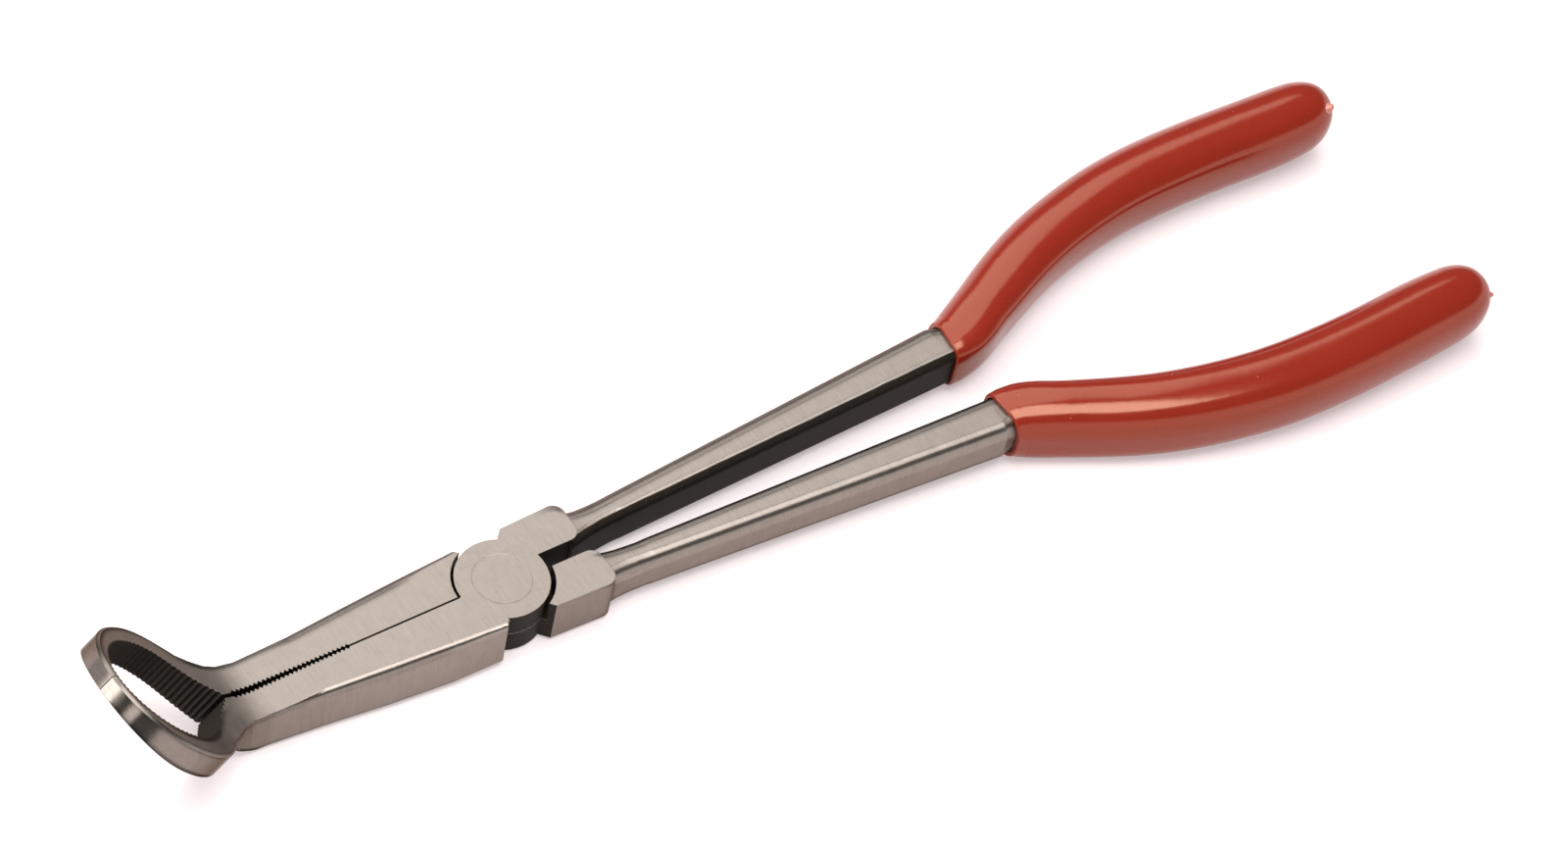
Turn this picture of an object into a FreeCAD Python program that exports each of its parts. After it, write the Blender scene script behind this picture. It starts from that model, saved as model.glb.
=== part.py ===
"""Long-reach hose-grip pliers: two crossed levers on one flush rivet, with dipped vinyl grips.

Frame: millimetres. The origin is on the pivot axis at the joint's underside, +Z is the pivot axis
pointing up, +X runs back to the handles and -X out to the jaws, which bend up into a split ring.
The top-lap lever has its jaw at -Y and its handle at +Y; the bottom-lap lever is the other way round.
"""
import FreeCAD, Part
import math
import os

from FreeCAD import Vector

# Joint
JOINT_THICK = 9.2          # full thickness of jaws and shoulders at the pivot
LAP_Z = JOINT_THICK / 2    # the two lap halves meet here
LAP_GAP = 0.06             # clearance between the lap faces
DISK_R = 8.4               # round lap half of each lever
RECESS_R = 8.9             # hollow that the other lever's round lap half turns in
REAR_RECESS_R = 9.3        # the same, behind the pivot
MATE_GAP = 0.06            # each closed jaw stands this far off the middle plane
CUT_PAST = 1.0             # how far a cutting form reaches past the face that it opens
FAR = 40.0                 # further than any part of a jaw or ring, for cutting forms

# Rivet, ground flush on both sides
SHANK_R = 3.6
HEAD_R = 5.25
HEAD_DEPTH = 1.65
SEAT_CLEAR = 0.02          # in the lever that holds the rivet
RUN_CLEAR = 0.05           # in the lever that turns on it

# Jaw and the bend to the ring
JAW_REAR_X = -3.6
BEND_X = -56.9             # where the jaw's top plane meets the ring's top plane
BEND_DEG = 45.0
BEND_TOP_R = 20.0          # inside of the bend
BEND_LOW_START_X = -44.0   # where the underside starts to rise
BEND_PROUD = 0.25          # how far the blank stands above the bend before it is cut to it
TEETH_START_X = -30.7
TEETH_END_X = -54.0
TOOTH_PITCH = 0.86
TOOTH_DEPTH = 0.5
MOUTH_GAP = 0.42           # how far each jaw stands off at the ring end of its teeth

# Split ring, in its own plane: across is |y|, along is measured down from the tip
RING_LENGTH = 31.0         # from the bend line to the tip
RING_THICK = 3.5
RING_BELLY = 1.6           # extra thickness half way along the ring
RING_OUT_A, RING_OUT_B = 14.7, 16.3
RING_CHAMFER = 0.5         # taken off the outer edge of the ring's top face
RING_IN_A, RING_IN_B = 10.6, 13.1
RING_TIP_WALL = 1.6
RIDGES_PER_HALF = 29       # round the oval part
THROAT_RIDGES = 8          # along the straight closing part
RIDGE_DEPTH = 0.4
OVAL_TURN_DEG = 142.0      # how far the oval part goes round from the tip
HEEL = (1.2, 1.6)          # the bend's underside: above the bend line, and extra thickness there
JAW_FOOT = 0.9             # bevel along a jaw's lower edge

# Shoulder blocks behind the pivot
SHOULDER_FRONT = (5.3, 9.2)
SHOULDER_ROOT = (3.3, 7.0)
LOW_LEVER_SHIFT = 0.7      # the bottom-lap lever's block stands this much further back
SHOULDER_OUT_Y = 9.55
SHOULDER_IN_Y = 1.6
SHOULDER_END_X = 17.4
SHOULDER_END_R = 2.2

# Arms and the tangs inside the grips
ARM_START_Y = 4.15         # the arm's middle line, carried back to the pivot
ARM_Z = 4.1                # height of that line
ARM_SPREAD = 0.0520        # how fast that line moves out
ARM_END_X = 98.0
TANG_W, TANG_H = 8.4, 8.8  # section where the arm goes into its grip
ARM_IN_R = 1.7             # edge radius on the inner side of the D-shaped arm
ARM_OUT_R = 2.45           # edge radius on its outer side
TANG_OUT_R = 3.3           # the same inside the grip
TANG_CLEAR = 0.05          # between the tang and the vinyl
GRIP_MOUTH_X = 99.0
GRIP_END_X = 196.6
NIB_R = 1.25


def tip_frame():
    """Directions of the ring's plane: up along it to the tip, and its normal on the upper side."""
    bend = math.radians(BEND_DEG)
    along = Vector(-math.cos(bend), 0, math.sin(bend))
    normal = Vector(math.sin(bend), 0, math.cos(bend))
    return along, normal


def ring_point(across, down, depth=0.0):
    """A point of the ring: across the middle plane, down from the tip, and depth below its top face."""
    along, normal = tip_frame()
    base = Vector(BEND_X, across, JOINT_THICK)
    return base + along * (RING_LENGTH - down) - normal * depth


def spline_edge(points, first_tangent, last_tangent):
    """A smooth edge through the points, with given directions at its ends."""
    curve = Part.BSplineCurve()
    curve.interpolate(Points=points, InitialTangent=first_tangent, FinalTangent=last_tangent)
    return curve.toShape()


def extruded(points, direction):
    """A prism on a closed polygon."""
    outline = Part.makePolygon(points + [points[0]])
    return Part.Face(outline).extrude(direction)


def bend_reach():
    """Distance from the bend line to where the bend's curve starts, on either side."""
    return BEND_TOP_R * math.tan(math.radians(BEND_DEG / 2))


def side_slab():
    """The bent slab seen from the side: flat jaw, bend, and the ring's plate, for y from 0 out."""
    along = tip_frame()[0]
    corner = Vector(BEND_X, 0, JOINT_THICK)
    bend_in = corner + Vector(bend_reach(), 0, 0)
    bend_out = corner + along * bend_reach()
    centre = bend_in + Vector(0, 0, BEND_TOP_R)
    middle = centre + (corner - centre).normalize() * BEND_TOP_R
    tip_top = ring_point(0, 0)
    tip_low = ring_point(0, 0, RING_THICK)
    belly = ring_point(0, RING_LENGTH / 2, RING_THICK + RING_BELLY)
    heel_up, heel_extra = HEEL
    heel = ring_point(0, RING_LENGTH - heel_up, RING_THICK + heel_extra)
    rear_top = Vector(0, 0, JOINT_THICK)
    rear_low = Vector(0, 0, 0)
    rise = Vector(BEND_LOW_START_X, 0, 0)
    rise_mid = Vector(BEND_LOW_START_X - 8.5, 0, 1.0)
    low_edge = spline_edge([rise, rise_mid, heel, belly, tip_low], Vector(-12, 0, 0),
                           Vector(-9, 0, 13))
    edges = [Part.LineSegment(rear_top, bend_in).toShape(),
             Part.Arc(bend_in, middle, bend_out).toShape(),
             Part.LineSegment(bend_out, tip_top).toShape(),
             Part.LineSegment(tip_top, tip_low).toShape(),
             low_edge,
             Part.LineSegment(rise, rear_low).toShape(),
             Part.LineSegment(rear_low, rear_top).toShape()]
    return Part.Face(Part.Wire(Part.__sortEdges__(edges))).extrude(Vector(0, FAR, 0))


def jaw_top(x):
    """Height of the jaw's blank: level, then a little proud of the bend that is cut from it."""
    into = BEND_X + bend_reach() - x
    if into <= 0:
        return JOINT_THICK
    return JOINT_THICK + BEND_PROUD + BEND_TOP_R - math.sqrt(BEND_TOP_R ** 2 - into ** 2)


def jaw_section(x, side_y, foot_y, round_r):
    """One upright section of a jaw: flat top, rounded upper edge, and a side that leans out."""
    top = jaw_top(x)
    turn = round_r * math.sqrt(0.5)
    corners = [(side_y - round_r, top), (0, top), (0, 0), (foot_y - JAW_FOOT, 0),
               (foot_y, JAW_FOOT), (side_y, top - round_r)]
    points = [Vector(x, y, z) for y, z in corners]
    middle = Vector(x, side_y - round_r + turn, top - round_r + turn)
    edges = [Part.LineSegment(*pair).toShape() for pair in zip(points, points[1:])]
    edges.append(Part.Arc(points[-1], middle, points[0]).toShape())
    return Part.Wire(edges)


def jaw_body():
    """The tapered jaw as far as the bend, flaring there into the ring, for y from 0 out."""
    #            x      side  foot  edge radius
    stations = [(JAW_REAR_X, 9.3, 10.0, 1.0), (-15.0, 8.85, 9.9, 1.5), (-27.0, 8.05, 8.9, 1.6),
                (-39.0, 7.0, 7.5, 1.4), (-50.0, 6.35, 6.5, 1.0), (-53.5, 6.6, 6.4, 0.9),
                (-55.5, 7.2, 6.1, 0.7), (-57.5, 8.5, 4.5, 0.5), (-59.5, 10.0, 1.8, 0.4),
                (-61.5, 11.2, 1.6, 0.4)]
    jaw = Part.makeLoft([jaw_section(*station) for station in stations], True, True)
    rear_corner = [Vector(-2, 8.2, -CUT_PAST), Vector(-3.9, 8.2, -CUT_PAST),
                   Vector(-5.6, 10.9, -CUT_PAST), Vector(-2, 10.9, -CUT_PAST)]
    return jaw.cut(extruded(rear_corner, Vector(0, 0, JOINT_THICK + 2 * CUT_PAST)))


def ring_ellipse(across, down, centre_down, depth):
    """A half-axes ellipse across the ring's axis, at a depth below the ring's top face."""
    along = tip_frame()[0]
    centre = ring_point(0, centre_down, depth)
    return Part.Wire(Part.Ellipse(centre + along * down, centre + Vector(0, across, 0), centre).toShape())


def ring_blank():
    """The ring's outer form on the +Y side: an oval prism with its upper outer edge chamfered."""
    reach = 12.0
    straight = [ring_ellipse(RING_OUT_A, RING_OUT_B, RING_OUT_B, depth) for depth in (-reach, 2 * reach)]
    taper = []
    for depth in (-reach, 2 * reach):
        offset = depth - RING_CHAMFER
        taper.append(ring_ellipse(RING_OUT_A + offset, RING_OUT_B + offset, RING_OUT_B, depth))
    oval = Part.makeLoft(straight, True, True).common(Part.makeLoft(taper, True, True))
    far_side = Part.makeBox(2 * FAR, FAR, 2 * FAR, Vector(BEND_X - FAR, 0, -FAR))
    return oval.common(far_side)


def ring_opening():
    """What is cut from a half ring: the oval hose opening with its ridges, closing to the teeth."""
    normal = tip_frame()[1]
    centre_down = RING_TIP_WALL + RING_IN_B
    last_turn = math.radians(OVAL_TURN_DEG)
    steps = 2 * RIDGES_PER_HALF
    outline = []
    for step in range(steps + 1):
        turn = last_turn * step / steps
        grow = RIDGE_DEPTH * (step % 2)
        outline.append(((RING_IN_A + grow) * math.sin(turn),
                        centre_down - (RING_IN_B + grow) * math.cos(turn)))
    across, down = outline[-1]
    fall_across = RING_IN_A * math.cos(last_turn)
    fall_down = RING_IN_B * math.sin(last_turn)
    throat = (across - MOUTH_GAP) / -fall_across
    for step in range(1, 2 * THROAT_RIDGES + 1):
        part_way = throat * step / (2 * THROAT_RIDGES)
        grow = 0.8 * RIDGE_DEPTH * (step % 2)
        outline.append((across + fall_across * part_way + grow, down + fall_down * part_way + grow))
    outline = [(-CUT_PAST, outline[0][1])] + outline + [(-CUT_PAST, outline[-1][1])]
    points = [ring_point(across, down, -FAR / 2) for across, down in outline]
    return extruded(points, normal * -2 * FAR)


def mating_trim():
    """Everything on one jaw's side of its mating face, with the transverse teeth cut in it."""
    def stand_off(x):
        part_way = (TEETH_START_X - x) / (TEETH_START_X - TEETH_END_X)
        return MATE_GAP + (MOUTH_GAP - MATE_GAP) * max(0.0, part_way) ** 1.5

    count = int((TEETH_START_X - TEETH_END_X) / TOOTH_PITCH)
    outline = [(-CUT_PAST, MATE_GAP), (TEETH_START_X, MATE_GAP)]
    for tooth in range(count):
        root = TEETH_START_X - (tooth + 0.5) * TOOTH_PITCH
        crest = TEETH_START_X - (tooth + 1) * TOOTH_PITCH
        outline.append((root, stand_off(root) + TOOTH_DEPTH))
        outline.append((crest, stand_off(crest)))
    past_tip = BEND_X - FAR
    outline += [(TEETH_END_X - 8, MOUTH_GAP), (TEETH_END_X - 12, MATE_GAP), (past_tip, MATE_GAP),
                (past_tip, FAR), (-CUT_PAST, FAR)]
    points = [Vector(x, y, -CUT_PAST) for x, y in outline]
    return extruded(points, Vector(0, 0, 2 * FAR))


def jaw_and_ring():
    """One jaw with its half ring, on the +Y side."""
    slab = side_slab()
    jaw = slab.common(jaw_body())
    ring = slab.common(ring_blank())
    return jaw.fuse(ring).cut(ring_opening()).common(mating_trim()).removeSplitter()


def shoulder_block(shift):
    """The full-thickness block behind the pivot, on the +Y side, moved back by a shift."""
    root = Vector(*SHOULDER_ROOT, 0)
    front = Vector(*SHOULDER_FRONT, 0)
    r = SHOULDER_END_R
    end_x, out_y, in_y = SHOULDER_END_X + shift, SHOULDER_OUT_Y, SHOULDER_IN_Y
    half = r * math.sqrt(0.5)
    inner_front = Vector(5, in_y, 0)
    edges = [Part.LineSegment(root, front),
             Part.LineSegment(front, Vector(end_x - r, out_y, 0)),
             Part.Arc(Vector(end_x - r, out_y, 0), Vector(end_x - r + half, out_y - r + half, 0),
                      Vector(end_x, out_y - r, 0)),
             Part.LineSegment(Vector(end_x, out_y - r, 0), Vector(end_x, in_y + r, 0)),
             Part.Arc(Vector(end_x, in_y + r, 0), Vector(end_x - r + half, in_y + r - half, 0),
                      Vector(end_x - r, in_y, 0)),
             Part.LineSegment(Vector(end_x - r, in_y, 0), inner_front),
             Part.LineSegment(inner_front, root)]
    outline = Part.Wire([edge.toShape() for edge in edges])
    return Part.Face(outline).extrude(Vector(0, 0, JOINT_THICK))


def arm_middle(x):
    """Middle line of the straight arm, seen from above."""
    return Vector(x, ARM_START_Y + ARM_SPREAD * x, ARM_Z)


def handle_path():
    """Middle line of the bowed handle, seen from above, on the +Y side."""
    points = [(102.8, 9.7, 4.0), (107.5, 11.6, 4.1), (115, 15.2, 4.2), (125, 19.5, 4.4),
              (136.5, 22.9, 4.5), (148, 24.9, LAP_Z), (159, 25.5, LAP_Z), (170.5, 25.3, 4.7),
              (182, 24.7, 4.9), (190, 24.4, 5.3), (GRIP_END_X, 24.0, 6.2)]
    start = [arm_middle(ARM_END_X - 4), arm_middle(ARM_END_X)]
    curve = Part.BSplineCurve()
    curve.interpolate(start + [Vector(*point) for point in points])
    return curve


def path_place(path, x):
    """The path's point at a given x, and the direction across it there."""
    low, high = path.FirstParameter, path.LastParameter
    for _ in range(50):
        middle = (low + high) / 2
        if path.value(middle).x < x:
            low = middle
        else:
            high = middle
    direction = path.tangent(low)[0]
    return path.value(low), Vector(-direction.y, direction.x, 0)


def rounded_section(centre, out_dir, width, height, radii, grow=0.0):
    """A section with its own radius at each edge: outer upper, inner upper, inner lower, outer lower."""
    up = Vector(0, 0, 1)
    half_w, half_h = width / 2 + grow, height / 2 + grow
    turn = math.sqrt(0.5)

    def at(across, rise):
        return centre + out_dir * across + up * rise

    edges = []
    for (side, z), radius in zip(((1, 1), (-1, 1), (-1, -1), (1, -1)), radii):
        r = radius + grow
        flat_end = at(side * (half_w - r), z * half_h)
        upright_end = at(side * half_w, z * (half_h - r))
        mid = at(side * (half_w - r + r * turn), z * (half_h - r + r * turn))
        if side * z > 0:
            edges.append(Part.Arc(upright_end, mid, flat_end))
        else:
            edges.append(Part.Arc(flat_end, mid, upright_end))
    wire = []
    for index, edge in enumerate(edges):
        wire.append(edge.toShape())
        following = edges[(index + 1) % len(edges)]
        wire.append(Part.LineSegment(edge.EndPoint, following.StartPoint).toShape())
    return Part.Wire(wire)


def d_radii(outer_r):
    """Edge radii of the D-shaped arm: small on the inner side, large on the outer one."""
    return (outer_r, ARM_IN_R, ARM_IN_R, outer_r)


def arm():
    """The D-shaped arm with its neck, from inside the shoulder block to the grip's mouth."""
    #        x      width height outer edge radius
    neck = [(15.2, 7.7, 9.0, 2.5), (17.3, 6.9, 8.8, 2.5), (19.4, 6.15, 8.55, 2.45),
            (21.6, 5.75, 8.4, 2.45), (24.0, 5.6, 8.3, 2.4), (27.0, 5.7, 8.3, 2.4)]
    across = Vector(-ARM_SPREAD, 1, 0).normalize()

    def section(x, width, height, outer_r):
        return rounded_section(arm_middle(x), across, width, height, d_radii(outer_r))

    neck_shape = Part.makeLoft([section(*station) for station in neck], True, False)
    end = section(ARM_END_X, TANG_W, TANG_H, ARM_OUT_R)
    return neck_shape.fuse(Part.makeLoft([section(*neck[-1]), end], True, True))


def tang(grow):
    """The end of the lever inside its grip, grown all round."""
    #            x     width  height
    stations = [(104.0, 8.3, 8.7), (112.0, 8.2, 8.6), (122.0, 8.2, 8.5), (133.0, 8.2, 8.4),
                (144.0, 8.2, 8.3), (156.0, 8.2, 8.2), (168.0, 8.0, 8.1), (180.0, 7.7, 7.8),
                (191.0, 7.2, 7.4)]
    path = handle_path()
    across = Vector(-ARM_SPREAD, 1, 0).normalize()
    start = rounded_section(arm_middle(ARM_END_X), across, TANG_W, TANG_H, d_radii(ARM_OUT_R), grow)
    sections = [start]
    for x, width, height in stations:
        centre, across = path_place(path, x)
        sections.append(rounded_section(centre, across, width, height, d_radii(TANG_OUT_R), grow))
    return Part.makeLoft(sections, True, False)


def grip():
    """A dipped vinyl sleeve with a rounded end and the nib where the last drop set, on the +Y side."""
    #            x             width height edge radii: outer up, inner up, inner low, outer low
    stations = [(GRIP_MOUTH_X, 10.0, 10.5, (4.2, 2.5, 2.9, 3.7)),
                (100.8, 10.7, 11.2, (4.6, 2.9, 3.9, 3.7)),
                (103.4, 11.2, 11.8, (4.9, 3.2, 5.0, 3.6)),
                (108.0, 11.5, 12.2, (5.2, 3.5, 5.5, 3.5)),
                (116.0, 12.0, 12.5, (5.5, 3.9, 5.8, 3.8)),
                (126.0, 12.7, 12.9, (5.8, 4.4, 6.0, 4.3)),
                (137.0, 13.2, 13.3, (6.1, 4.9, 6.1, 5.0)),
                (148.0, 13.6, 13.6, (6.2, 5.4, 6.2, 5.6)),
                (160.0, 13.8, 13.8, (6.3, 5.7, 6.2, 6.0)),
                (171.0, 13.8, 13.9, (6.4, 5.9, 6.2, 6.2)),
                (181.0, 13.8, 13.9, (6.4, 6.0, 6.2, 6.2)),
                (187.5, 13.4, 13.6, (6.3, 6.0, 6.1, 6.1)),
                (192.2, 12.0, 12.2, (5.7, 5.5, 5.5, 5.5)),
                (195.0, 8.9, 9.1, (4.2, 4.2, 4.2, 4.2)),
                (196.3, 4.4, 4.5, (2.1, 2.1, 2.1, 2.1))]
    path = handle_path()
    sections = []
    for x, width, height, radii in stations:
        centre, across = path_place(path, x)
        sections.append(rounded_section(centre, across, width, height, radii))
    skin = Part.makeLoft(sections, True, False)
    nib = Part.makeSphere(NIB_R, Vector(GRIP_END_X - 1.3, 23.6, 7.4))
    return skin.fuse(nib).cut(tang(TANG_CLEAR))


def turned(outline):
    """A solid turned about the pivot axis from the radius and height of its profile's points."""
    closed = [(0, outline[0][1])] + outline + [(0, outline[-1][1])]
    points = [Vector(radius, 0, z) for radius, z in closed]
    profile = Part.Face(Part.makePolygon(points + [points[0]]))
    return profile.revolve(Vector(0, 0, 0), Vector(0, 0, 1), 360)


def rivet_outline(clear):
    """The pivot rivet's profile, a shank with a flush countersunk head at each end, grown by clear."""
    return [(HEAD_R + clear, 0), (SHANK_R + clear, HEAD_DEPTH),
            (SHANK_R + clear, JOINT_THICK - HEAD_DEPTH), (HEAD_R + clear, JOINT_THICK)]


def rivet_hole(clear):
    """What is cut from a lever for the rivet."""
    wide = HEAD_R + clear
    return turned([(wide, -CUT_PAST)] + rivet_outline(clear) + [(wide, JOINT_THICK + CUT_PAST)])


def mirrored(shape):
    """The same shape on the other side of the middle plane."""
    return shape.mirror(Vector(0, 0, 0), Vector(0, 1, 0))


def lap_recess(low, high):
    """What is cut from a lever, between two heights, for the other lever's round lap half."""
    front = Part.makeCylinder(RECESS_R, high - low, Vector(0, 0, low))
    rear = Part.makeCylinder(REAR_RECESS_R, high - low, Vector(0, 0, low))
    behind = Part.makeBox(FAR, 2 * FAR, high - low, Vector(0, -FAR, low))
    return front.fuse(rear.common(behind))


def lever(lap_on_top):
    """One forged lever. The top-lap lever has its jaw at -Y and its handle at +Y."""
    jaw = jaw_and_ring()
    handle = shoulder_block(0.0 if lap_on_top else LOW_LEVER_SHIFT).fuse(arm()).fuse(tang(0.0))
    if lap_on_top:
        jaw = mirrored(jaw)
    else:
        handle = mirrored(handle)
    half = LAP_GAP / 2
    if lap_on_top:
        disk_low, disk_high = LAP_Z + half, JOINT_THICK
        recess = lap_recess(-CUT_PAST, LAP_Z + half)
        clear = SEAT_CLEAR
    else:
        disk_low, disk_high = 0.0, LAP_Z - half
        recess = lap_recess(LAP_Z - half, JOINT_THICK + CUT_PAST)
        clear = RUN_CLEAR
    disk = Part.makeCylinder(DISK_R, disk_high - disk_low, Vector(0, 0, disk_low))
    return handle.fuse(jaw).cut(recess).fuse(disk).cut(rivet_hole(clear)).removeSplitter()


def save(shape, node):
    """Write one node's solid."""
    solid = shape.Solids[0] if len(shape.Solids) == 1 else shape
    solid.exportStep("parts/" + node + ".step")
    box = solid.BoundBox
    print(f"{node}: {len(shape.Solids)} solid, valid {solid.isValid()}, {solid.Volume:.1f} mm3, "
          f"x {box.XMin:.2f} {box.XMax:.2f}, y {box.YMin:.2f} {box.YMax:.2f}, "
          f"z {box.ZMin:.2f} {box.ZMax:.2f}")


os.makedirs("parts", exist_ok=True)
save(lever(lap_on_top=True), "top_lap_lever")
save(lever(lap_on_top=False), "bottom_lap_lever")
save(turned(rivet_outline(0.0)), "pivot_rivet")
save(grip(), "top_lever_grip")
save(mirrored(grip()), "bottom_lever_grip")
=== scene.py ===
"""Long-reach hose-grip pliers: the finished looks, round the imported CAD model.

Metres, in the part's frame: the origin is on the pivot axis at the joint's underside, +Z up, +X back
along the handles, -X out to the ring. The top lever's handle is at +Y and the bottom lever's at -Y.
"""

import math

import bpy
import numpy as np
from mathutils import Matrix, Vector, noise
from mathutils.bvhtree import BVHTree


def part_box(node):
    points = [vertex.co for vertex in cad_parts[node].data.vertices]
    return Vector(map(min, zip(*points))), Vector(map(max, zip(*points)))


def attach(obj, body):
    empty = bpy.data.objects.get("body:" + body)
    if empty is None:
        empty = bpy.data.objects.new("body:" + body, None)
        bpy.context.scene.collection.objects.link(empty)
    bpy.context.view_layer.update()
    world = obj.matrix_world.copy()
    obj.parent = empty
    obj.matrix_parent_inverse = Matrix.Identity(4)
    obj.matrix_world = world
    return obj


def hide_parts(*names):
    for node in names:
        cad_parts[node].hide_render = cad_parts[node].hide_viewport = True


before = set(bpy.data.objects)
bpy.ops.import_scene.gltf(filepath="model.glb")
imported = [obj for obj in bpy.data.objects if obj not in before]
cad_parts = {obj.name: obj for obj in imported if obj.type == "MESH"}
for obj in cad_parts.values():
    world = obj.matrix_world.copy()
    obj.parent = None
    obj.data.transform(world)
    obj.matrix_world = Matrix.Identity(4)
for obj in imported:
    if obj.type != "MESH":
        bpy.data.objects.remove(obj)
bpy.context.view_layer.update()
MM = 0.001

# Which side of the middle plane each body's handle is on. Its jaw is on the other side.
HANDLE_SIDE = {"top_lever": 1.0, "bottom_lever": -1.0}

# Middle line of the bowed handle on the +Y side, in millimetres, from ahead of the grip's mouth
HANDLE_LINE = [(94.0, 9.05, 4.1), (98.0, 9.25, 4.1), (102.8, 9.7, 4.0), (107.5, 11.6, 4.1),
               (115.0, 15.2, 4.2), (125.0, 19.5, 4.4), (136.5, 22.9, 4.5), (148.0, 24.9, 4.6),
               (159.0, 25.5, 4.6), (170.5, 25.3, 4.7), (182.0, 24.7, 4.9), (190.0, 24.4, 5.3)]


# ---------------------------------------------------------------- shader helper

class Tree:
    """A node tree with short calls for the nodes that the finishes are made of."""

    def __init__(self, owner):
        owner.use_nodes = True
        self.nodes = owner.node_tree.nodes
        self.links = owner.node_tree.links
        self.nodes.clear()

    def feed(self, socket, value):
        if isinstance(value, bpy.types.NodeSocket):
            self.links.new(value, socket)
        else:
            socket.default_value = value

    def node(self, kind, inputs=(), **settings):
        made = self.nodes.new(kind)
        for name, value in settings.items():
            setattr(made, name, value)
        for key, value in dict(inputs).items():
            self.feed(made.inputs[key], value)
        return made

    def finish(self, kind, surface):
        out = self.node(kind)
        self.links.new(surface.outputs[0], out.inputs["Surface"])

    def math(self, operation, *values):
        return self.node("ShaderNodeMath", enumerate(values), operation=operation).outputs[0]

    def vector(self, operation, a, b=None, scale=None):
        inputs = {0: a}
        if b is not None:
            inputs[1] = b
        if scale is not None:
            inputs["Scale"] = scale
        made = self.node("ShaderNodeVectorMath", inputs, operation=operation)
        return made.outputs["Value" if operation in ("DOT_PRODUCT", "LENGTH") else "Vector"]

    def split(self, vector):
        return self.node("ShaderNodeSeparateXYZ", {0: vector}).outputs

    def step(self, value, low, high):
        """0 below low, 1 above high, smooth between them. With low above high it falls instead."""
        made = self.node("ShaderNodeMapRange", {"Value": value, "From Min": low, "From Max": high},
                         interpolation_type="SMOOTHSTEP")
        return made.outputs["Result"]

    def within(self, value, limit, soft):
        """1 where the value is nearer to 0 than the limit, over a soft edge either side of it."""
        return self.step(self.math("ABSOLUTE", value), limit + soft, limit - soft)

    def both(self, *masks):
        result = masks[0]
        for mask in masks[1:]:
            result = self.math("MULTIPLY", result, mask)
        return result

    def either(self, *masks):
        result = masks[0]
        for mask in masks[1:]:
            result = self.math("MAXIMUM", result, mask)
        return result

    def mix(self, factor, a, b):
        made = self.node("ShaderNodeMix", data_type="RGBA")
        self.feed(made.inputs["Factor"], factor)
        self.feed(made.inputs[6], a)
        self.feed(made.inputs[7], b)
        return made.outputs[2]

    def blend(self, factor, a, b):
        made = self.node("ShaderNodeMix", {"Factor": factor, 2: a, 3: b}, data_type="FLOAT")
        return made.outputs[0]

    def noise(self, place, scale, detail=2.0, roughness=0.5):
        made = self.node("ShaderNodeTexNoise", {"Vector": place, "Scale": scale, "Detail": detail,
                                                "Roughness": roughness})
        return made.outputs["Fac"]

    def streaks(self, place, scales, detail, roughness):
        """Noise with its own scale along each axis."""
        return self.noise(self.vector("MULTIPLY", place, scales), 1.0, detail, roughness)

    def bevel(self, radius, samples):
        return self.node("ShaderNodeBevel", {"Radius": radius}, samples=samples).outputs["Normal"]

    def bump(self, height, strength, distance, normal=None):
        inputs = {"Height": height, "Strength": strength, "Distance": distance}
        if normal is not None:
            inputs["Normal"] = normal
        return self.node("ShaderNodeBump", inputs).outputs["Normal"]


def new_material(name):
    """A material, its tree, the place on the object in millimetres, and the way the surface faces."""
    material = bpy.data.materials.new(name)
    tree = Tree(material)
    where = tree.node("ShaderNodeTexCoord").outputs
    return material, tree, tree.vector("SCALE", where["Object"], scale=1000.0), where["Normal"]


# ---------------------------------------------------------------- steel

STEEL = (0.270, 0.236, 0.211, 1)
STEEL_DULL = (0.225, 0.197, 0.179, 1)      # the ring's faces
OXIDE = (0.016, 0.0130, 0.0100, 1)
OXIDE_WORN = (0.045, 0.038, 0.032, 1)
LAP_EDGE = (0.17, 0.15, 0.13, 1)           # the rubbed line where the joint plates meet

LENGTH_WAY = (1.0, 0.02, 0.03)             # highlights stretch this way, at right angles to the grinding
SCRATCH_TURN = math.radians(-58)
LEVER_EDGE = 0.22 * MM                     # how far the levers' sharp edges look rounded
RIVET_EDGE = 0.05 * MM
PAINTED_SHADE_EDGE_WIDTH = 2.0 * MM                       # width looked over for the painted shade on the far edges

# Where the levers' finishes change, in millimetres
RING_X, RING_Z = -68.4, 20.7               # middle of the ring's opening
LAP_RADIUS = 9.5                           # of the round joint plates
JOINT_HEIGHT = 9.2
LAP_HEIGHT = 4.6                           # where the two joint plates meet


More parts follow.
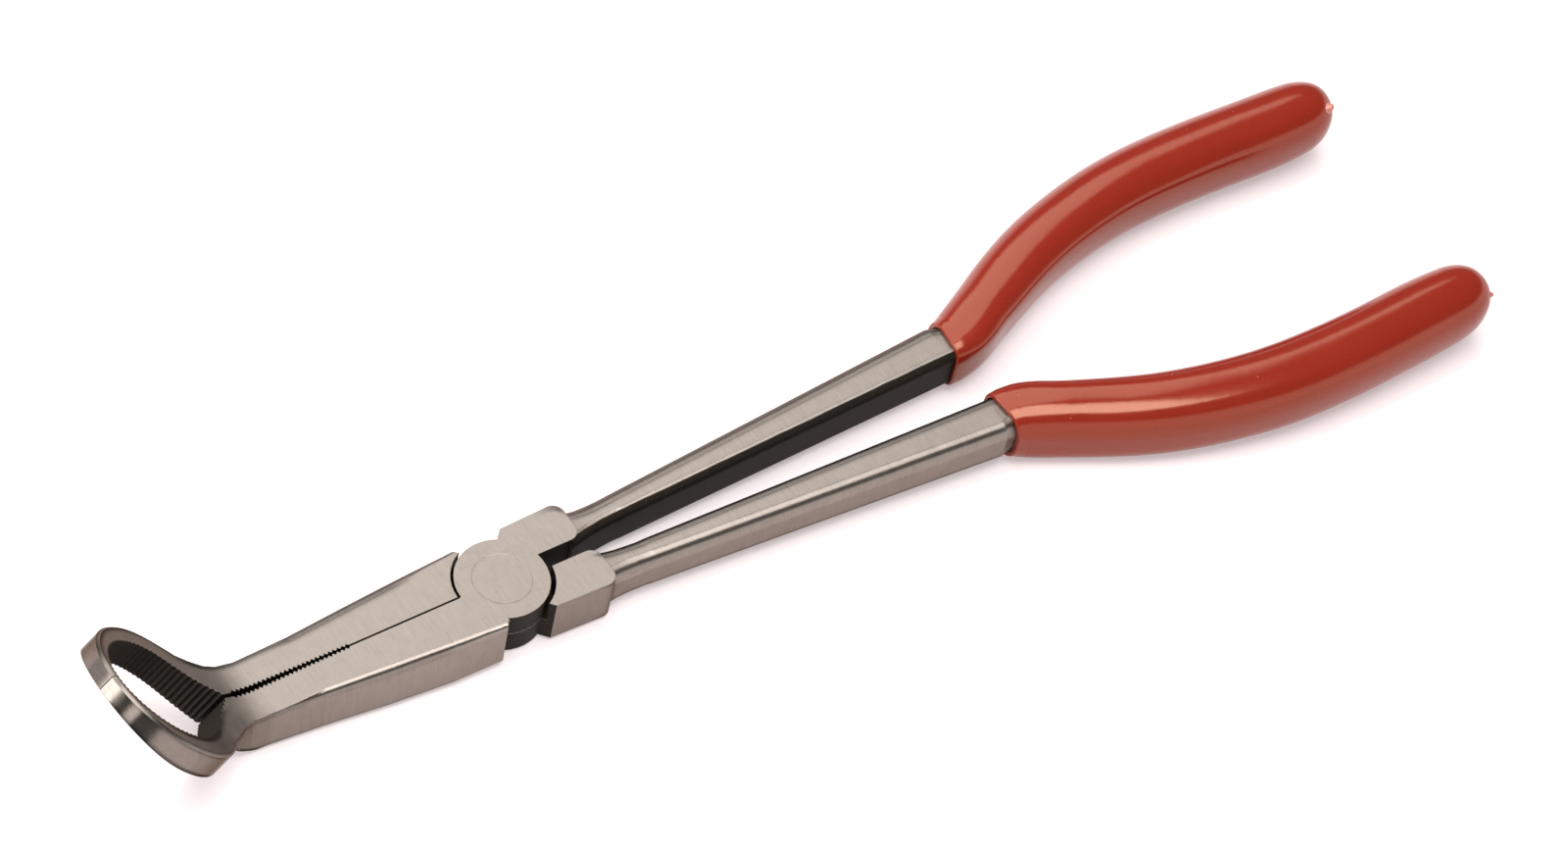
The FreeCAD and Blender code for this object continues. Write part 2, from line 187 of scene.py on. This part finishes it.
def black_mask(tree, side, place, facing):
    """Where a lever is black: on the arm's, jaw's and ring's inner faces and in the joint.

    The joint's walls are also given alone.
    """
    x, y, z = tree.split(place)
    nx, ny, nz = tree.split(facing)
    upright = tree.within(nz, 0.66, 0.06)

    ragged = tree.streaks(place, (0.16, 0.3, 0.3), 3.0, 0.6)
    own_ny = tree.math("MULTIPLY", ny, side)
    inward = tree.math("ADD", own_ny, tree.math("MULTIPLY_ADD", ragged, 0.168, -0.084))
    arm_inner = tree.both(tree.step(inward, -0.32, -0.42), tree.step(x, 2.5, 3.5))

    own_y = tree.math("MULTIPLY", y, side)
    jaw_inner = tree.both(tree.step(own_y, -1.5, -1.3), upright, tree.step(x, -4.0, -5.0))
    seam = tree.both(tree.within(y, 0.20, 0.04), tree.step(x, -8.5, -9.0), tree.step(x, -66.0, -60.0))

    from_pivot = tree.vector("LENGTH", tree.vector("MULTIPLY", place, (1.0, 1.0, 0.0)))
    in_lap = tree.within(from_pivot, LAP_RADIUS, 0.1)
    lap_wall = tree.both(in_lap, upright)
    lap_face = tree.both(in_lap, tree.step(z, JOINT_HEIGHT - 0.25, JOINT_HEIGHT - 0.35),
                         tree.step(z, 0.2, 0.3))
    ends = tree.both(tree.step(tree.math("ABSOLUTE", nx), 0.45, 0.6), upright, tree.within(x, 9.25, 0.25))

    # The ring's inner wall faces its middle, measured in the plane that the ring is bent into
    up_plane = tree.math("SUBTRACT", tree.math("SUBTRACT", z, x), RING_Z - RING_X)
    up_normal = tree.math("MULTIPLY", tree.math("SUBTRACT", nz, nx), 0.5)
    outward = tree.math("ADD", tree.math("MULTIPLY", ny, y), tree.math("MULTIPLY", up_plane, up_normal))
    ring_wall = tree.both(tree.step(outward, -2.0, -3.0), tree.step(x, -54.0, -55.5),
                          tree.within(ring_facing(tree, facing), 0.625, 0.075))
    return tree.either(arm_inner, jaw_inner, lap_wall, lap_face, ends, ring_wall, seam), lap_wall


def ring_facing(tree, facing):
    """1 on the ring's upper face, -1 on its lower face and 0 on its walls, as it is bent up 45 degrees."""
    nx, _, nz = tree.split(facing)
    return tree.math("MULTIPLY", tree.math("ADD", nx, nz), math.sqrt(0.5))


def far_edge_painted_shade(tree, x, y):
    """The edges turned to the world's +Y: a band of painted shade, standing in for the darker look of
    softer far edges.

    The direction is the world's, so on a lever that turns the band moves to other edges.
    """
    flat = tree.node("ShaderNodeNewGeometry").outputs["Normal"]
    away = tree.split(tree.vector("SUBTRACT", tree.bevel(PAINTED_SHADE_EDGE_WIDTH, 8), flat))[1]
    return tree.both(tree.step(away, 0.006, 0.09), tree.step(tree.math("ABSOLUTE", y), 2.5, 3.5),
                     tree.step(tree.math("ABSOLUTE", x), 12.0, 18.0))


def steel(name, side):
    """Ground steel, black on the faces turned to the other lever.

    side is the side of the handle, +1 or -1, or 0 for the rivet, which is ground all over.
    """
    material, tree, place, facing = new_material(name)
    x, y, z = tree.split(place)

    # Grinding lines run across the tool, on its faces and down its sides alike
    grain_fine = tree.streaks(place, (5.5, 0.22, 0.22), 3.0, 0.62)
    grain_wide = tree.streaks(place, (1.3, 0.12, 0.12), 2.0, 0.5)
    mottle = tree.noise(place, 0.42, 3.0, 0.55)
    fleck = tree.noise(place, 5.0, 2.0, 0.6)

    # Short slanting scratches, mostly over the joint
    slanted = tree.node("ShaderNodeVectorRotate", {"Vector": place, "Angle": SCRATCH_TURN},
                        rotation_type="Z_AXIS").outputs[0]
    scratch = tree.streaks(slanted, (7.0, 0.55, 1.0), 2.0, 0.6)
    near_joint = tree.blend(tree.within(x, 9.5, 4.5), 0.25, 1.0)
    scratched = tree.math("MULTIPLY", tree.step(scratch, 0.57, 0.72), near_joint)

    shade = tree.both(tree.blend(grain_fine, 0.76, 1.24), tree.blend(grain_wide, 0.95, 1.05),
                      tree.blend(mottle, 0.86, 1.10), tree.blend(fleck, 0.88, 1.12),
                      tree.blend(scratched, 1.0, 0.86))
    height = tree.math("ADD", grain_fine, tree.math("MULTIPLY", fleck, 0.5))
    height = tree.math("SUBTRACT", height, tree.math("MULTIPLY", scratched, 0.3))
    normal = tree.bump(height, 0.34, 0.02 * MM, tree.bevel(LEVER_EDGE if side else RIVET_EDGE, 4))
    rough = tree.math("ADD", tree.blend(grain_fine, 0.25, 0.38), tree.blend(mottle, -0.03, 0.05))
    metal = 1.0
    colour = tree.vector("SCALE", STEEL[:3], scale=shade)

    if side:
        black, lap_wall = black_mask(tree, side, place, facing)
        ring = tree.step(x, -57.5, -60.5)
        ring_face = tree.both(ring, tree.step(ring_facing(tree, facing), 0.75, 0.9))
        ring_side = tree.both(ring, tree.within(ring_facing(tree, facing), 0.45, 0.15))
        speckle = tree.streaks(place, (3.2, 2.2, 2.2), 2.0, 0.6)

        # Darker towards the ring, and painted shade along the far edges
        shade = tree.both(shade, tree.blend(tree.step(x, -47.0, -58.0), 1.0, 0.80),
                          tree.blend(far_edge_painted_shade(tree, x, y), 1.0, 0.30))
        ground = tree.vector("SCALE", tree.mix(ring_face, STEEL, STEEL_DULL), scale=shade)
        oxide = tree.mix(tree.step(speckle, 0.60, 0.78), OXIDE, OXIDE_WORN)
        off_lap = tree.math("SUBTRACT", z, LAP_HEIGHT)
        lap_line = tree.both(tree.within(off_lap, 0.14, 0.06), lap_wall, tree.step(speckle, 0.35, 0.55))
        colour = tree.mix(black, ground, tree.mix(lap_line, oxide, LAP_EDGE))

        rough = tree.blend(tree.math("MULTIPLY", ring_side, 0.85), rough, 0.13)
        rough = tree.blend(black, rough, 0.5)
        metal = tree.blend(black, 1.0, 0.35)
        normal = tree.bump(speckle, tree.math("MULTIPLY", black, 0.35), 0.04 * MM, normal)

    length = tree.node("ShaderNodeVectorTransform", {0: LENGTH_WAY}, vector_type="VECTOR",
                       convert_from="OBJECT", convert_to="WORLD").outputs[0]
    shader = tree.node("ShaderNodeBsdfPrincipled", {
        "Base Color": colour, "Metallic": metal, "Roughness": rough, "Normal": normal, "Tangent": length,
        "Specular IOR Level": 0.25, "Specular Tint": (0.42, 0.38, 0.35, 1), "Anisotropic": 0.75})
    tree.finish("ShaderNodeOutputMaterial", shader)
    return material


# ---------------------------------------------------------------- vinyl

def vinyl(name):
    """Dipped vinyl: a glossy, slightly wavy deep red skin with fine specks under it."""
    material, tree, place, _ = new_material(name)
    cloud = tree.streaks(place, (0.05, 0.12, 0.12), 3.0, 0.55)
    fleck = tree.noise(place, 2.6, 2.0, 0.5)
    pores = tree.node("ShaderNodeTexVoronoi", {"Vector": place, "Scale": 0.22}).outputs["Distance"]
    speck = tree.step(pores, 0.042, 0.026)

    colour = tree.mix(cloud, (0.172, 0.0105, 0.0050, 1), (0.198, 0.0135, 0.0062, 1))
    colour = tree.mix(tree.step(fleck, 0.45, 0.75), colour, (0.195, 0.0145, 0.0070, 1))
    colour = tree.mix(tree.math("MULTIPLY", speck, 0.35), colour, (0.42, 0.12, 0.08, 1))
    rough = tree.math("ADD", tree.blend(cloud, 0.13, 0.18), tree.math("MULTIPLY", speck, 0.12))
    normal = tree.bump(tree.noise(place, 0.55, 2.0, 0.5), 0.25, 0.06 * MM)
    normal = tree.bump(fleck, 0.10, 0.02 * MM, normal)
    normal = tree.bump(speck, 0.30, 0.04 * MM, normal)
    shader = tree.node("ShaderNodeBsdfPrincipled", {
        "Base Color": colour, "Roughness": rough, "Normal": normal, "IOR": 1.5,
        "Specular IOR Level": 0.72, "Specular Tint": (1.0, 0.68, 0.47, 1)})
    tree.finish("ShaderNodeOutputMaterial", shader)
    return material


def drip_vinyl(name):
    """The thin last drop of vinyl, paler because light goes through it."""
    material, tree, place, _ = new_material(name)
    cloud = tree.noise(place, 1.2, 2.0, 0.5)
    colour = tree.mix(cloud, (0.36, 0.11, 0.085, 1), (0.46, 0.17, 0.135, 1))
    shader = tree.node("ShaderNodeBsdfPrincipled", {
        "Base Color": colour, "Roughness": 0.2, "Normal": tree.bump(cloud, 0.15, 0.05 * MM), "IOR": 1.5})
    tree.finish("ShaderNodeOutputMaterial", shader)
    return material


# ---------------------------------------------------------------- grips

GRIP_SIDES = 112           # points round the grip
GRIP_RINGS = 230           # rings from the mouth to the middle of the rounded end
GRIP_FAN_RINGS = 34        # rings over the rounded end
TURNS = np.linspace(0, 2 * math.pi, GRIP_SIDES, endpoint=False)
LINE_STEPS = 1600          # points on the handle's line, before it is thinned to the rings
LINE_LATE = 0.75 * MM      # how far behind the solid's mouth the first ring is
RAY_LENGTH = 30 * MM       # from outside the grip to its middle
USUAL_RADIUS = 6 * MM      # where a ray misses the solid
USUAL_WALL = 4 * MM
MOUTH_ROUND = 0.4 * MM     # rounding of the vinyl's edge at the mouth
MOUTH_STEPS = 6            # rings round that edge
MOUTH_BEAD = 0.04 * MM     # how far the vinyl swells just behind that edge
BEAD_PLACE = 1.3 * MM
BEAD_LENGTH = 0.7 * MM
MOUTH_SLANT = 0.75 * MM    # how far the mouth's outer side stands behind its middle
MOUTH_LATE = 0.15 * MM     # how far the whole mouth stands behind the solid's
SLANT_FADE = 12.0 * MM     # the slant dies out over this length
RIDGE = 0.16 * MM          # soft ridge on the upper inner side, over the tang's edge
RIDGE_TURN = math.radians(143)
RIDGE_SPREAD = math.radians(7)
WAVE = 0.035 * MM          # unevenness left by dipping
WAVE_REST = 1.5            # how many waves the skin lies inside the solid


def spline_through(points, count):
    """Evenly spaced points on a natural cubic spline through the given ones."""
    points = np.array(points, float)
    run = np.concatenate([[0.0], np.cumsum(np.linalg.norm(np.diff(points, axis=0), axis=1))])
    size, gap = len(points), np.diff(run)
    system, target = np.eye(size), np.zeros((size, 3))
    slope = np.diff(points, axis=0) / gap[:, None]
    for i in range(1, size - 1):
        system[i, i - 1:i + 2] = gap[i - 1], 2 * (gap[i - 1] + gap[i]), gap[i]
        target[i] = 6 * (slope[i] - slope[i - 1])
    bend = np.linalg.solve(system, target)
    fine = np.linspace(0, run[-1], count)
    piece = np.clip(np.searchsorted(run, fine, side="right") - 1, 0, size - 2)
    t = (fine - run[piece])[:, None]
    h = gap[piece][:, None]
    a, b = points[piece], points[piece + 1]
    ma, mb = bend[piece], bend[piece + 1]
    return a + t * ((b - a) / h - h * (2 * ma + mb) / 6) + t ** 2 * ma / 2 + t ** 3 * (mb - ma) / (6 * h)


def softened(values, rounds):
    """Values on a grid, averaged with their neighbours along it and round it."""
    for _ in range(rounds):
        values = (np.roll(values, 1, axis=1) + 2 * values + np.roll(values, -1, axis=1)) / 4
        inner = (values[:-2] + 2 * values[1:-1] + values[2:]) / 4
        values = np.concatenate([values[:1], inner, values[-1:]])
    return values


def new_object(name, points, faces, material):
    """A smooth-shaded mesh object."""
    mesh = bpy.data.meshes.new(name)
    mesh.from_pydata([tuple(point) for point in points], [], faces)
    mesh.update()
    mesh.shade_smooth()
    mesh.materials.append(material)
    made = bpy.data.objects.new(name, mesh)
    bpy.context.scene.collection.objects.link(made)
    return made


def tube_faces(rings, sides):
    """Quads between rings of points stored one after another, and a fan to the point after the last one."""
    faces = []
    for ring in range(rings - 1):
        for i in range(sides):
            j = (i + 1) % sides
            a, b = ring * sides, (ring + 1) * sides
            faces.append((a + i, a + j, b + j, b + i))
    last = (rings - 1) * sides
    return faces + [(last + i, last + (i + 1) % sides, rings * sides) for i in range(sides)]


def cad_surface(node):
    """A CAD node's mesh, ready for rays."""
    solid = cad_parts[node].data
    return BVHTree.FromPolygons([v.co for v in solid.vertices], [tuple(p.vertices) for p in solid.polygons])


def handle_line(side, mouth_x):
    """Points along the middle of a handle from the grip's mouth back, and the way ahead at each."""
    line = spline_through(HANDLE_LINE, LINE_STEPS) * MM
    line[:, 1] *= side
    line = line[line[:, 0] > mouth_x]
    line = line[np.linspace(0, len(line) - 1, GRIP_RINGS).astype(int)]
    ahead = np.gradient(line, axis=0)
    return line, ahead / np.linalg.norm(ahead, axis=1)[:, None]


def ring_directions(forward, side, lean=0.0):
    """Directions from the middle to each point of a ring, leaning forward over the rounded end."""
    outward = Vector((-forward.y, forward.x, 0)).normalized() * side
    up = outward.cross(forward) * -side
    return [(outward * math.cos(turn) + up * math.sin(turn)) * math.cos(lean) + forward * math.sin(lean)
            for turn in TURNS]


def outer_radius(surface, centre, direction):
    """How far out the solid's skin is, met from outside."""
    hit = surface.ray_cast(centre + direction * RAY_LENGTH, -direction)[0]
    return USUAL_RADIUS if hit is None else (hit - centre).length


def wall_radius(surface, centre, direction):
    """How far out the wall of the solid's hollow is, met from its middle."""
    hit = surface.ray_cast(centre, direction)[0]
    return USUAL_WALL if hit is None else (hit - centre).length


def skin_lift(run):
    """How far each point of each ring stands out: the bead at the mouth and the ridge over the tang."""
    bead = np.exp(-((run - BEAD_PLACE) / BEAD_LENGTH) ** 2) * MOUTH_BEAD
    share = (run / run[-1])[:, None]
    spread = RIDGE_SPREAD * (1 + share)
    distance = (TURNS[None, :] - RIDGE_TURN + math.pi) % (2 * math.pi) - math.pi
    fade = np.clip((0.93 - share) / 0.25, 0, 1) * np.clip(share / 0.04, 0, 1)
    return bead[:, None] + RIDGE * np.exp(-(distance / spread) ** 2) * fade


def mouth_shift(run, turn):
    """How far back a point moves, so that the mouth stands a little late and slanted."""
    fade = max(0.0, 1 - run / SLANT_FADE) ** 2
    return fade * (MOUTH_LATE + MOUTH_SLANT * math.cos(turn))


def mouth_rings(surface, centre, forward, directions, outer):
    """Rings from inside the hollow, along its wall and round the vinyl's edge, up to the outer ring."""
    walls = [wall_radius(surface, centre, direction) for direction in directions]
    walls = softened(np.array([walls] * 3), 1)[1]
    points = []
    for depth, gap in ((3.0 * MM, 0.0), (0.05 * MM, 0.0), (-MOUTH_ROUND + 0.06 * MM, 0.02 * MM),
                       (-MOUTH_ROUND, 0.12 * MM)):
        for wall, direction, turn in zip(walls, directions, TURNS):
            points.append(centre + direction * (wall + gap) + forward * (depth + mouth_shift(0, turn)))
    for step in range(MOUTH_STEPS, 0, -1):
        angle = math.pi / 2 * step / MOUTH_STEPS
        for point, direction in zip(outer, directions):
            points.append(point - direction * (MOUTH_ROUND * (1 - math.cos(angle)))
                          - forward * (MOUTH_ROUND * math.sin(angle)))
    return points


def grip_piece(node, body, material):
    """The grip's outer skin, taken from its CAD solid along rays, with the detail that dipping leaves."""
    side = HANDLE_SIDE[body]
    surface = cad_surface(node)
    line, ahead = handle_line(side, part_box(node)[0].x + LINE_LATE)
    line, ahead = [Vector(point) for point in line], [Vector(way) for way in ahead]
    run = np.concatenate([[0.0], np.cumsum([(b - a).length for a, b in zip(line, line[1:])])])
    directions = [ring_directions(way, side) for way in ahead]
    for step in range(1, GRIP_FAN_RINGS):
        line.append(line[-1])
        ahead.append(ahead[-1])
        run = np.append(run, run[-1])
        directions.append(ring_directions(ahead[-1], side, math.pi / 2 * step / GRIP_FAN_RINGS))

    radii = softened(np.array([[outer_radius(surface, centre, direction) for direction in ring]
                               for centre, ring in zip(line, directions)]), 7)
    lift = skin_lift(run)
    points = []
    for ring, centre in enumerate(line):
        for i, direction in enumerate(directions[ring]):
            point = centre + direction * radii[ring, i] + ahead[ring] * mouth_shift(run[ring], TURNS[i])
            wave = noise.noise(Vector((point.x * 90, point.y * 160 + side * 7, point.z * 160)))
            points.append(point + direction * (lift[ring, i] + WAVE * (wave - WAVE_REST)))
    points = mouth_rings(surface, line[0], ahead[0], directions[0], points) + points
    faces = tube_faces(len(points) // GRIP_SIDES, GRIP_SIDES)
    points.append(line[-1] + ahead[-1] * radii[-1].mean())
    if side > 0:
        faces = [face[::-1] for face in faces]

    skin = new_object(node + "_skin", points, faces, material)
    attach(skin, body)
    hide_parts(node)


# The nib's outline: distance along its axis from the grip's skin, and radius, in millimetres at full size
NIB_OUTLINE = [(-0.9, 1.55), (-0.45, 1.40), (-0.12, 1.18), (0.15, 0.95), (0.40, 0.80), (0.62, 0.66),
               (0.80, 0.48), (0.92, 0.27)]
NIB_TIP = 0.96
NIB_SIDES = 32
NIB_FLATNESS = 0.85


def nib_piece(node, body, toward, size, material):
    """The nib where the last drop of vinyl set: a small round-ended swelling on the grip's end."""
    x, y, z = HANDLE_LINE[-1]
    middle = Vector((x, y * HANDLE_SIDE[body], z)) * MM
    axis = Vector(toward).normalized()
    foot = cad_surface(node).ray_cast(middle + axis * RAY_LENGTH, -axis)[0]
    across = axis.orthogonal().normalized()
    third = axis.cross(across) * NIB_FLATNESS
    points = []
    for along, radius in NIB_OUTLINE:
        for i in range(NIB_SIDES):
            turn = 2 * math.pi * i / NIB_SIDES
            spread = across * math.cos(turn) + third * math.sin(turn)
            points.append(foot + (axis * along + spread * radius) * size * MM)
    points.append(foot + axis * NIB_TIP * size * MM)
    nib = new_object(node + "_nib", points, tube_faces(len(NIB_OUTLINE), NIB_SIDES), material)
    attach(nib, body)


# ---------------------------------------------------------------- the object

LEVER_NODES = {"top_lap_lever": 1.0, "bottom_lap_lever": -1.0, "pivot_rivet": 0.0}
for node, side in LEVER_NODES.items():
    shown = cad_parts[node]
    shown.data.materials.clear()
    shown.data.materials.append(steel("steel_" + node, side))

red = vinyl("dipped_vinyl")
pale = drip_vinyl("drip_vinyl")
for body in HANDLE_SIDE:
    grip_piece(body + "_grip", body, red)
nib_piece("top_lever_grip", "top_lever", (0.58, -0.51, 0.64), 0.95, pale)
nib_piece("bottom_lever_grip", "bottom_lever", (0.80, -0.45, 0.35), 0.5, pale)


# ---------------------------------------------------------------- stage

FLOOR_HALF = 2.5
FLOOR_FRONT_X = -44 * MM       # the jaws' underside rests on the floor here
FLOOR_REAR_X = 135 * MM        # and the grips here
FLOOR_COLOUR = (0.57, 0.525, 0.53, 1)
FLOOR_GLOW = (0.38, 0.345, 0.352, 1)
LAMP_COLOUR = (1.0, 0.985, 0.97)


def floor_piece():
    """A plain pale floor, tilted a little so that the grips and the jaws' underside both rest on it."""
    lowest = min(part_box("top_lever_grip")[0].z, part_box("bottom_lever_grip")[0].z)
    front = Vector((FLOOR_FRONT_X, 0, 0))
    slope = (Vector((FLOOR_REAR_X, 0, lowest)) - front).normalized()
    across = Vector((0, 1, 0))
    corners = [front + slope * a + across * b for a, b in
               ((-FLOOR_HALF, -FLOOR_HALF), (FLOOR_HALF, -FLOOR_HALF),
                (FLOOR_HALF, FLOOR_HALF), (-FLOOR_HALF, FLOOR_HALF))]
    mesh = bpy.data.meshes.new("floor")
    mesh.from_pydata([tuple(corner) for corner in corners], [], [(0, 1, 2, 3)])
    made = bpy.data.objects.new("floor", mesh)
    bpy.context.scene.collection.objects.link(made)
    material = bpy.data.materials.new("floor_white")
    tree = Tree(material)
    paper = tree.node("ShaderNodeBsdfDiffuse", {"Color": FLOOR_COLOUR})
    glow = tree.node("ShaderNodeEmission", {"Color": FLOOR_GLOW})
    both = tree.node("ShaderNodeAddShader", {0: paper.outputs[0], 1: glow.outputs[0]})
    tree.finish("ShaderNodeOutputMaterial", both)
    mesh.materials.append(material)


def softbox(name, middle, across, up, width, height, radiance):
    """A rectangular light by its middle and the directions of its two sides, in metres."""
    across, up = Vector(across).normalized(), Vector(up)
    up = (up - across * up.dot(across)).normalized()
    light = bpy.data.lights.new(name, "AREA")
    light.shape = "RECTANGLE"
    light.size, light.size_y = width, height
    light.energy = radiance * math.pi * width * height
    light.color = LAMP_COLOUR
    made = bpy.data.objects.new(name, light)
    turn = Matrix((across, up, across.cross(up))).transposed()
    made.matrix_world = Matrix.Translation(Vector(middle)) @ turn.to_4x4()
    bpy.context.scene.collection.objects.link(made)


# Round patches of the studio: the way to each, where its edge starts and ends as a cosine, its level
STUDIO_PATCHES = [((-0.791, -0.554, 0.259), 0.78, 0.90, 0.22),     # a dark gap
                  ((-0.832, 0.340, 0.438), 0.945, 0.985, 6.0),     # a lamp
                  ((-0.770, -0.460, 0.442), 0.982, 0.995, 3.0)]    # a small white card


def studio_world():
    """A dim studio round a white sweep: pale up to some way above the horizon, and where it is seen."""
    world = bpy.data.worlds.new("studio")
    bpy.context.scene.world = world
    tree = Tree(world)
    direction = tree.node("ShaderNodeTexCoord").outputs["Generated"]
    dx, dy, dz = tree.split(direction)
    height = tree.math("MULTIPLY_ADD", dx, 0.25, dz)
    height = tree.math("MULTIPLY_ADD", tree.math("MAXIMUM", dy, 0.0), 0.32, height)
    sweep = tree.blend(tree.step(dy, -0.1, 0.5), 1.5, 1.0)
    level = tree.blend(tree.step(height, 0.44, 0.60), sweep, 0.2)
    for way, start, end, patch_level in STUDIO_PATCHES:
        toward = tree.vector("DOT_PRODUCT", direction, way)
        level = tree.blend(tree.step(toward, start, end), level, patch_level)
    light = tree.node("ShaderNodeBackground", {"Color": (1.0, 0.97, 0.95, 1), "Strength": level})
    seen = tree.node("ShaderNodeBackground", {"Color": (0.96, 0.945, 0.94, 1), "Strength": 1.0})
    camera_ray = tree.node("ShaderNodeLightPath").outputs["Is Camera Ray"]
    mixed = tree.node("ShaderNodeMixShader", {0: camera_ray, 1: light.outputs[0], 2: seen.outputs[0]})
    tree.finish("ShaderNodeOutputWorld", mixed)


CAMERA_AIM = Vector((64.88, 8.31, 4.6)) * MM
CAMERA_DISTANCE = 1.29707
CAMERA_AZIMUTH = math.radians(45.577)      # of the way it looks, from +X towards +Y
CAMERA_DOWN = math.radians(50.579)
CAMERA_ROLL = math.radians(-13.61)
CAMERA_LENS = 169.85
CAMERA_SENSOR = 36.0


def camera():
    """The camera, above the tool, off its ring end and to its -Y side, looking back along it."""
    level = math.cos(CAMERA_DOWN)
    forward = Vector((math.cos(CAMERA_AZIMUTH) * level, math.sin(CAMERA_AZIMUTH) * level,
                      -math.sin(CAMERA_DOWN)))
    right = forward.cross(Vector((0, 0, 1))).normalized()
    up = right.cross(forward) * math.cos(CAMERA_ROLL) + right * math.sin(CAMERA_ROLL)
    turn = Matrix((forward.cross(up), up, -forward)).transposed()
    data = bpy.data.cameras.new("camera")
    data.sensor_width = CAMERA_SENSOR
    data.lens = CAMERA_LENS
    made = bpy.data.objects.new("camera", data)
    made.matrix_world = Matrix.Translation(CAMERA_AIM - forward * CAMERA_DISTANCE) @ turn.to_4x4()
    bpy.context.scene.collection.objects.link(made)
    bpy.context.scene.camera = made


floor_piece()
softbox("top_softbox", (0.07, -0.12, 1.2), (1, 0, 0), (0, 1, 0), 0.84, 0.83, 8.0)
softbox("left_softbox", (-0.586, 0.636, 1.072), (1, 1, 0), (-0.542, 0.542, -0.643), 0.9, 0.7, 3.0)
softbox("far_softbox", (0.28, 0.909, 0.959), (-0.619, 0.716, -0.322), (-0.760, -0.443, 0.475),
        1.17, 0.78, 2.6)
studio_world()
camera()
bpy.context.scene.view_settings.view_transform = "Standard"
